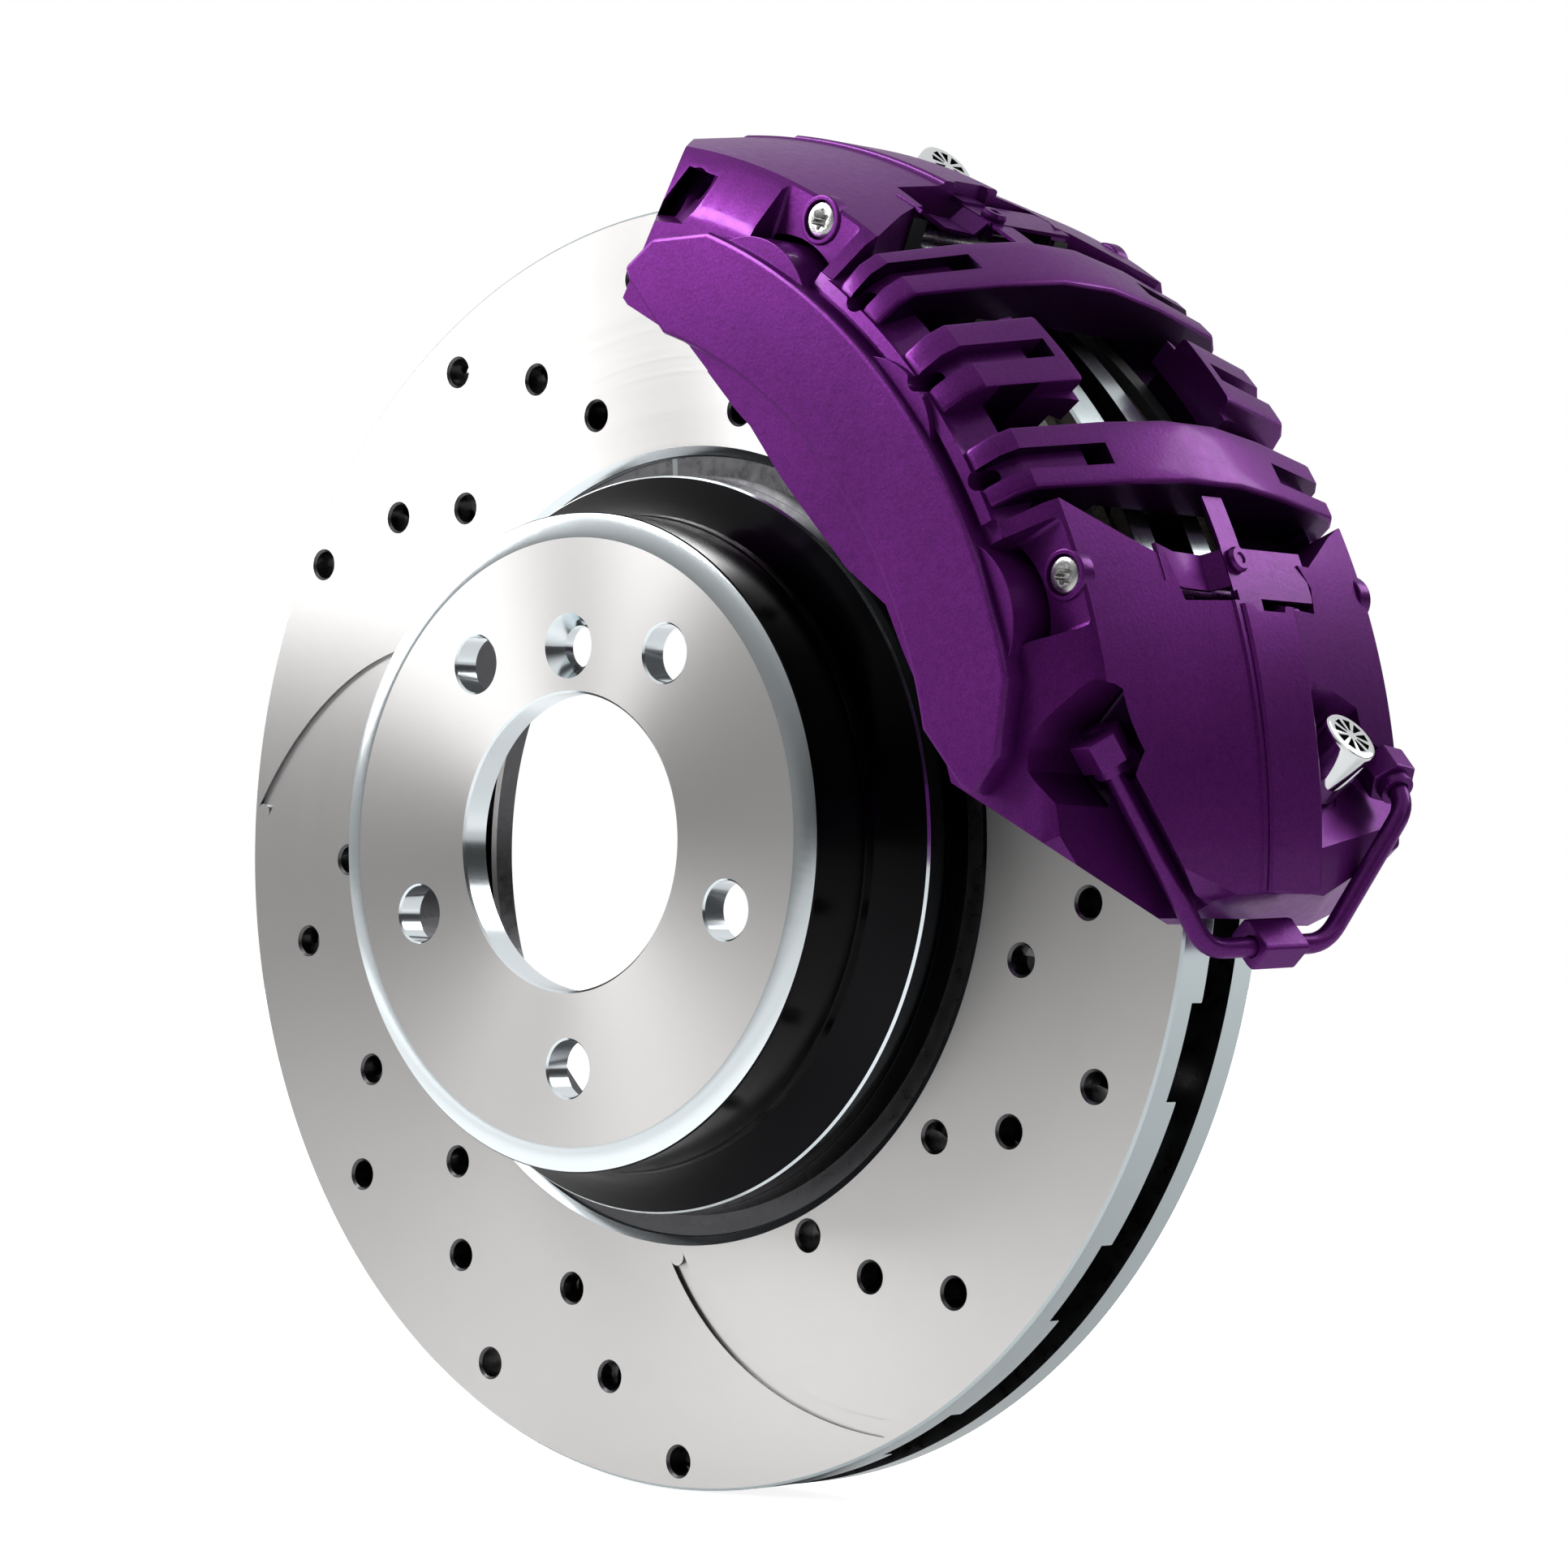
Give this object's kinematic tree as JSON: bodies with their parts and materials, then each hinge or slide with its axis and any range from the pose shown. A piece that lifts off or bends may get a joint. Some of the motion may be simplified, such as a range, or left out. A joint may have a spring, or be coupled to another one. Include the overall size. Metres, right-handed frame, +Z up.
{
  "type": "brake caliper with disc",
  "caption": "Fixed opposed-piston brake caliper with finned bridge windows, pads and crossover pipe, mounted over a drilled, slotted and ventilated hat disc.",
  "frame": {"origin": "centre of the disc's hub seat, the inner face of the hat's plate, on the axle line", "axes": "+Y along the axle, pointing inboard; +Z up; +X towards the side of the disc that the caliper leans to"},
  "size_m": [0.3701, 0.15, 0.366],
  "materials": {
    "disc_iron": "machined bright, satin friction faces, gloss dark hat wall",
    "caliper_paint": "metallic purple lacquer, semi-gloss",
    "piston_alloy": "hard anodised",
    "seal_rubber": "matte",
    "boot_rubber": "matte",
    "backing_black": "black powder coat",
    "lining_friction": "rough moulded compound with metal flecks",
    "shim_steel": "stainless sheet",
    "abutment_steel": "stainless sheet",
    "pin_steel": "zinc plated",
    "clip_paint": "metallic purple lacquer over spring steel",
    "pipe_paint": "metallic purple lacquer over steel",
    "bleeder_steel": "zinc plated",
    "cap_chrome": "polished"
  },
  "bodies": {
    "caliper": {"caliper_body": "caliper_paint", "piston_seal_outer_leading": "seal_rubber", "piston_seal_outer_middle": "seal_rubber", "piston_seal_outer_trailing": "seal_rubber", "piston_seal_inner_leading": "seal_rubber", "piston_seal_inner_middle": "seal_rubber", "piston_seal_inner_trailing": "seal_rubber", "dust_boot_outer_leading": "boot_rubber", "dust_boot_outer_middle": "boot_rubber", "dust_boot_outer_trailing": "boot_rubber", "dust_boot_inner_leading": "boot_rubber", "dust_boot_inner_middle": "boot_rubber", "dust_boot_inner_trailing": "boot_rubber", "abutment_plate_outer_leading": "abutment_steel", "abutment_plate_outer_trailing": "abutment_steel", "abutment_plate_inner_leading": "abutment_steel", "abutment_plate_inner_trailing": "abutment_steel", "pad_pin_leading": "pin_steel", "pad_pin_trailing": "pin_steel", "spring_clip_leading": "clip_paint", "spring_clip_trailing": "clip_paint", "clip_rivet_leading": "clip_paint", "clip_rivet_trailing": "clip_paint", "crossover_pipe": "pipe_paint", "union_nut_outer": "pipe_paint", "union_nut_inner": "pipe_paint", "pipe_clip": "pipe_paint"},
    "disc": {"brake_disc": "disc_iron"},
    "outer_pad": {"pad_backing_outer": "backing_black", "pad_lining_outer": "lining_friction", "pad_shim_outer": "shim_steel"},
    "inner_pad": {"pad_backing_inner": "backing_black", "pad_lining_inner": "lining_friction", "pad_shim_inner": "shim_steel"},
    "outer_leading_piston": {"piston_outer_leading": "piston_alloy"},
    "outer_middle_piston": {"piston_outer_middle": "piston_alloy"},
    "outer_trailing_piston": {"piston_outer_trailing": "piston_alloy"},
    "inner_leading_piston": {"piston_inner_leading": "piston_alloy"},
    "inner_middle_piston": {"piston_inner_middle": "piston_alloy"},
    "inner_trailing_piston": {"piston_inner_trailing": "piston_alloy"},
    "leading_bleeder": {"bleeder_screw_leading": "bleeder_steel"},
    "trailing_bleeder": {"bleeder_screw_trailing": "bleeder_steel"},
    "leading_bleeder_cap": {"bleeder_cap_leading": "cap_chrome"},
    "trailing_bleeder_cap": {"bleeder_cap_trailing": "cap_chrome"}
  },
  "joints": [
    {"name": "disc_spin", "type": "hinge", "parent": "caliper", "child": "disc", "pos_m": [0, 0, 0], "axis": [0, 1, 0], "continuous": true},
    {"name": "outer_pad_slide", "type": "slide", "parent": "caliper", "child": "outer_pad", "axis": [0, 1, 0], "range_m": [0, 0.0007]},
    {"name": "inner_pad_slide", "type": "slide", "parent": "caliper", "child": "inner_pad", "axis": [0, -1, 0], "range_m": [0, 0.0007]},
    {"name": "outer_leading_piston_slide", "type": "slide", "parent": "caliper", "child": "outer_leading_piston", "axis": [0, 1, 0], "range_m": [0, 0.0007]},
    {"name": "outer_middle_piston_slide", "type": "slide", "parent": "caliper", "child": "outer_middle_piston", "axis": [0, 1, 0], "range_m": [0, 0.0007]},
    {"name": "outer_trailing_piston_slide", "type": "slide", "parent": "caliper", "child": "outer_trailing_piston", "axis": [0, 1, 0], "range_m": [0, 0.0007]},
    {"name": "inner_leading_piston_slide", "type": "slide", "parent": "caliper", "child": "inner_leading_piston", "axis": [0, -1, 0], "range_m": [0, 0.0007]},
    {"name": "inner_middle_piston_slide", "type": "slide", "parent": "caliper", "child": "inner_middle_piston", "axis": [0, -1, 0], "range_m": [0, 0.0007]},
    {"name": "inner_trailing_piston_slide", "type": "slide", "parent": "caliper", "child": "inner_trailing_piston", "axis": [0, -1, 0], "range_m": [0, 0.0007]},
    {"name": "leading_bleeder_turn", "type": "hinge", "parent": "caliper", "child": "leading_bleeder", "pos_m": [0.04365, 0.08, 0.172], "axis": [0.766, 0, 0.6428], "range_deg": [0, 90]},
    {"name": "leading_cap_pull", "type": "slide", "parent": "leading_bleeder", "child": "leading_bleeder_cap", "axis": [0.766, 0, 0.6428], "range_m": [0, 0.02]},
    {"name": "trailing_bleeder_turn", "type": "hinge", "parent": "caliper", "child": "trailing_bleeder", "pos_m": [0.17697, 0.08, 0.01312], "axis": [0.766, 0, 0.6428], "range_deg": [0, 90]},
    {"name": "trailing_cap_pull", "type": "slide", "parent": "trailing_bleeder", "child": "trailing_bleeder_cap", "axis": [0.766, 0, 0.6428], "range_m": [0, 0.02]}
  ],
  "couplings": [
    {"joint": "inner_pad_slide", "follows": "outer_pad_slide", "ratio": 1},
    {"joint": "outer_leading_piston_slide", "follows": "outer_pad_slide", "ratio": 1},
    {"joint": "outer_middle_piston_slide", "follows": "outer_pad_slide", "ratio": 1},
    {"joint": "outer_trailing_piston_slide", "follows": "outer_pad_slide", "ratio": 1},
    {"joint": "inner_leading_piston_slide", "follows": "outer_pad_slide", "ratio": 1},
    {"joint": "inner_middle_piston_slide", "follows": "outer_pad_slide", "ratio": 1},
    {"joint": "inner_trailing_piston_slide", "follows": "outer_pad_slide", "ratio": 1}
  ]
}
